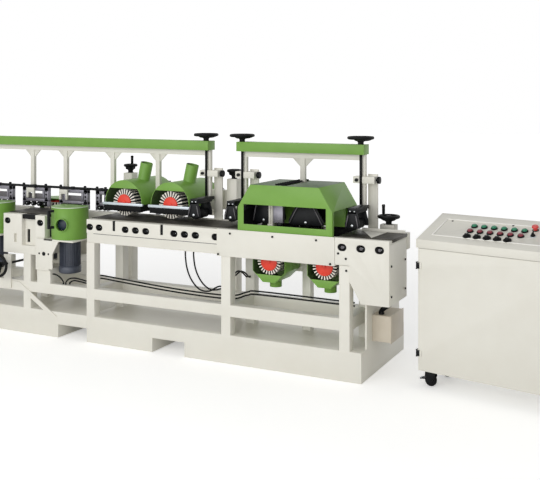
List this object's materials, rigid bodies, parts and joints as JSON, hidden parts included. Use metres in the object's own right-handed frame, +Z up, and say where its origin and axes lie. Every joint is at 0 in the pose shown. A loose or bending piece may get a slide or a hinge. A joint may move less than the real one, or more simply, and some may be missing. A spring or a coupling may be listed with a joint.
{
  "type": "four-sided brush sanding machine",
  "caption": "Long bench machine that sands a moulded board on four sides with powered flap brushes, with lifting hold-down beams, handwheels and a wheeled control desk.",
  "frame": {"origin": "on the floor at the centre of the main stand's footprint", "axes": "+X along the machine towards the control desk, +Y from the operator's side to the back, +Z up"},
  "size_m": [5.0337, 1.013, 1.5333],
  "materials": {
    "cream_paint": "satin",
    "green_paint": "satin",
    "iron": "ground",
    "beige_paint": "satin",
    "black_steel": "satin",
    "cable_rubber": "matte",
    "black_paint": "satin",
    "alloy": "cast",
    "black_plastic": "satin",
    "motor_paint": "satin",
    "brush_red": "matte",
    "castor_rubber": "matte",
    "red_plastic": "gloss",
    "green_plastic": "gloss"
  },
  "bodies": {
    "machine": {"main_stand": "cream_paint", "side_stand": "cream_paint", "bed_rails": "cream_paint", "table_plates": "iron", "front_skirt": "cream_paint", "drive_box": "cream_paint", "terminal_box": "beige_paint", "guide_columns": "cream_paint", "fasteners": "black_steel", "power_cables": "cable_rubber", "hanging_cables": "cable_rubber", "roller_hood": "green_paint", "desk_cabinet": "cream_paint", "desk_lid": "cream_paint", "desk_castors": "castor_rubber"},
    "right_beam": {"right_beam_cover": "green_paint", "right_beam_frame": "cream_paint", "right_press_rollers": "black_paint"},
    "left_beam": {"left_beam_cover": "green_paint", "left_beam_frame": "cream_paint", "left_press_units": "alloy"},
    "top_head_1": {"top_hood_1": "green_paint", "top_carriage_1": "motor_paint"},
    "top_head_2": {"top_hood_2": "green_paint", "top_carriage_2": "motor_paint"},
    "bottom_head_1": {"bottom_hood_1": "green_paint", "bottom_motor_1": "motor_paint"},
    "bottom_head_2": {"bottom_hood_2": "green_paint", "bottom_motor_2": "motor_paint"},
    "side_head_1": {"side_guard_1": "green_paint", "side_motor_1": "motor_paint"},
    "side_head_2": {"side_guard_2": "green_paint", "side_motor_2": "motor_paint"},
    "side_head_3": {"side_guard_3": "green_paint", "side_motor_3": "motor_paint"},
    "desk_door": {"desk_door": "cream_paint"},
    "right_wheel_1": {"right_wheel_1": "black_plastic"},
    "right_wheel_2": {"right_wheel_2": "black_plastic"},
    "left_wheel_1": {"left_wheel_1": "black_plastic"},
    "left_wheel_2": {"left_wheel_2": "black_plastic"},
    "top_wheel_1": {"top_wheel_1": "black_plastic"},
    "top_wheel_2": {"top_wheel_2": "black_plastic"},
    "side_wheel": {"side_wheel": "black_plastic"},
    "end_crank": {"end_crank": "black_plastic"},
    "selector_switch": {"selector_switch": "black_plastic"},
    "speed_knob_1": {"speed_knob_1": "black_plastic"},
    "speed_knob_2": {"speed_knob_2": "black_plastic"},
    "speed_knob_3": {"speed_knob_3": "black_plastic"},
    "speed_knob_4": {"speed_knob_4": "black_plastic"},
    "speed_knob_5": {"speed_knob_5": "black_plastic"},
    "top_brush_1": {"top_brush_1": "brush_red"},
    "top_brush_2": {"top_brush_2": "brush_red"},
    "bottom_brush_1": {"bottom_brush_1": "brush_red"},
    "bottom_brush_2": {"bottom_brush_2": "brush_red"},
    "side_brush_1": {"side_brush_1": "brush_red"},
    "side_brush_2": {"side_brush_2": "brush_red"},
    "side_brush_3": {"side_brush_3": "brush_red"},
    "emergency_stop": {"emergency_stop": "red_plastic"},
    "stop_buttons": {"stop_buttons": "red_plastic"},
    "start_buttons": {"start_buttons": "green_plastic"}
  },
  "joints": [
    {"name": "right_beam_lift", "type": "slide", "parent": "machine", "child": "right_beam", "axis": [0, 0, 1], "range_m": [-0.01, 0.05]},
    {"name": "left_beam_lift", "type": "slide", "parent": "machine", "child": "left_beam", "axis": [0, 0, 1], "range_m": [-0.01, 0.05]},
    {"name": "right_wheel_1_turn", "type": "hinge", "parent": "right_beam", "child": "right_wheel_1", "pos_m": [0.049, -0.1025, 1.525], "axis": [0, 0, 1], "range_deg": [-360.5, 1800.5]},
    {"name": "right_wheel_2_turn", "type": "hinge", "parent": "right_beam", "child": "right_wheel_2", "pos_m": [0.941, -0.1025, 1.525], "axis": [0, 0, 1], "range_deg": [-360.5, 1800.5]},
    {"name": "left_wheel_1_turn", "type": "hinge", "parent": "left_beam", "child": "left_wheel_1", "pos_m": [-2.493, -0.1025, 1.525], "axis": [0, 0, 1], "range_deg": [-360.5, 1800.5]},
    {"name": "left_wheel_2_turn", "type": "hinge", "parent": "left_beam", "child": "left_wheel_2", "pos_m": [-0.247, -0.1025, 1.525], "axis": [0, 0, 1], "range_deg": [-360.5, 1800.5]},
    {"name": "top_head_1_lift", "type": "slide", "parent": "machine", "child": "top_head_1", "axis": [0, 0, 1], "range_m": [-0.006, 0.04]},
    {"name": "top_brush_1_spin", "type": "hinge", "parent": "top_head_1", "child": "top_brush_1", "pos_m": [-0.876, -0.1325, 1.013], "axis": [0, 1, 0], "continuous": true},
    {"name": "top_wheel_1_turn", "type": "hinge", "parent": "machine", "child": "top_wheel_1", "pos_m": [-1.109, 0.1745, 1.25], "axis": [0, 0, 1], "range_deg": [-216.5, 1440.5]},
    {"name": "top_head_2_lift", "type": "slide", "parent": "machine", "child": "top_head_2", "axis": [0, 0, 1], "range_m": [-0.006, 0.04]},
    {"name": "top_brush_2_spin", "type": "hinge", "parent": "top_head_2", "child": "top_brush_2", "pos_m": [-0.469, -0.1325, 1.013], "axis": [0, 1, 0], "continuous": true},
    {"name": "top_wheel_2_turn", "type": "hinge", "parent": "machine", "child": "top_wheel_2", "pos_m": [-0.108, 0.0675, 1.25], "axis": [0, 0, 1], "range_deg": [-216.5, 1440.5]},
    {"name": "bottom_head_1_lift", "type": "slide", "parent": "machine", "child": "bottom_head_1", "axis": [0, 0, 1], "range_m": [0, 0.14]},
    {"name": "bottom_brush_1_spin", "type": "hinge", "parent": "bottom_head_1", "child": "bottom_brush_1", "pos_m": [0.376, -0.2325, 0.69], "axis": [0, 1, 0], "continuous": true},
    {"name": "bottom_head_2_lift", "type": "slide", "parent": "machine", "child": "bottom_head_2", "axis": [0, 0, 1], "range_m": [0, 0.14]},
    {"name": "bottom_brush_2_spin", "type": "hinge", "parent": "bottom_head_2", "child": "bottom_brush_2", "pos_m": [0.777, -0.2325, 0.69], "axis": [0, 1, 0], "continuous": true},
    {"name": "side_head_1_feed", "type": "slide", "parent": "machine", "child": "side_head_1", "axis": [0, 1, 0], "range_m": [-0.06, 0]},
    {"name": "side_brush_1_spin", "type": "hinge", "parent": "side_head_1", "child": "side_brush_1", "pos_m": [-1.317, -0.3125, 0.85], "axis": [0, 0, 1], "continuous": true},
    {"name": "side_head_2_feed", "type": "slide", "parent": "machine", "child": "side_head_2", "axis": [0, 1, 0], "range_m": [-0.06, 0]},
    {"name": "side_brush_2_spin", "type": "hinge", "parent": "side_head_2", "child": "side_brush_2", "pos_m": [-2.043, -0.3125, 0.85], "axis": [0, 0, 1], "continuous": true},
    {"name": "side_head_3_feed", "type": "slide", "parent": "machine", "child": "side_head_3", "axis": [0, 1, 0], "range_m": [0, 0.06]},
    {"name": "side_brush_3_spin", "type": "hinge", "parent": "side_head_3", "child": "side_brush_3", "pos_m": [-1.783, 0.0875, 0.85], "axis": [0, 0, 1], "continuous": true},
    {"name": "side_wheel_turn", "type": "hinge", "parent": "machine", "child": "side_wheel", "pos_m": [-1.819, -0.4925, 0.515], "axis": [0, 1, 0], "range_deg": [0, 2160.5]},
    {"name": "end_crank_turn", "type": "hinge", "parent": "machine", "child": "end_crank", "pos_m": [1.112, -0.0325, 0.96], "axis": [0, 0, 1], "continuous": true},
    {"name": "desk_door_swing", "type": "hinge", "parent": "machine", "child": "desk_door", "pos_m": [1.38711, -0.31036, 0.48], "axis": [0, 0, -1], "range_deg": [0, 110]},
    {"name": "emergency_stop_press", "type": "slide", "parent": "machine", "child": "emergency_stop", "axis": [-0.0612, -0.3147, 0.9472], "range_m": [-0.0036, 0], "stiffness_N_per_m": 2500},
    {"name": "start_buttons_press", "type": "slide", "parent": "machine", "child": "start_buttons", "axis": [-0.0612, -0.3147, 0.9472], "range_m": [-0.0036, 0], "stiffness_N_per_m": 1500},
    {"name": "stop_buttons_press", "type": "slide", "parent": "machine", "child": "stop_buttons", "axis": [-0.0612, -0.3147, 0.9472], "range_m": [-0.0036, 0], "stiffness_N_per_m": 1500},
    {"name": "selector_switch_turn", "type": "hinge", "parent": "machine", "child": "selector_switch", "pos_m": [2.07863, -0.27465, 0.97123], "axis": [-0.0612, -0.3147, 0.9472], "range_deg": [-45, 45]},
    {"name": "speed_knob_1_turn", "type": "hinge", "parent": "machine", "child": "speed_knob_1", "pos_m": [1.69075, -0.28381, 0.94314], "axis": [-0.0612, -0.3147, 0.9472], "range_deg": [-150, 150]},
    {"name": "speed_knob_2_turn", "type": "hinge", "parent": "machine", "child": "speed_knob_2", "pos_m": [1.75358, -0.29602, 0.94314], "axis": [-0.0612, -0.3147, 0.9472], "range_deg": [-150, 150]},
    {"name": "speed_knob_3_turn", "type": "hinge", "parent": "machine", "child": "speed_knob_3", "pos_m": [1.8164, -0.30823, 0.94314], "axis": [-0.0612, -0.3147, 0.9472], "range_deg": [-150, 150]},
    {"name": "speed_knob_4_turn", "type": "hinge", "parent": "machine", "child": "speed_knob_4", "pos_m": [1.87923, -0.32044, 0.94314], "axis": [-0.0612, -0.3147, 0.9472], "range_deg": [-150, 150]},
    {"name": "speed_knob_5_turn", "type": "hinge", "parent": "machine", "child": "speed_knob_5", "pos_m": [1.94205, -0.33265, 0.94314], "axis": [-0.0612, -0.3147, 0.9472], "range_deg": [-150, 150]}
  ],
  "couplings": [
    {"joint": "right_wheel_1_turn", "follows": "right_beam_lift", "rad_per_m": 628.32},
    {"joint": "right_wheel_2_turn", "follows": "right_beam_lift", "rad_per_m": 628.32},
    {"joint": "left_wheel_1_turn", "follows": "left_beam_lift", "rad_per_m": 628.32},
    {"joint": "left_wheel_2_turn", "follows": "left_beam_lift", "rad_per_m": 628.32},
    {"joint": "top_wheel_1_turn", "follows": "top_head_1_lift", "rad_per_m": 628.32},
    {"joint": "top_wheel_2_turn", "follows": "top_head_2_lift", "rad_per_m": 628.32},
    {"joint": "side_wheel_turn", "follows": "side_head_3_feed", "rad_per_m": 628.32}
  ]
}
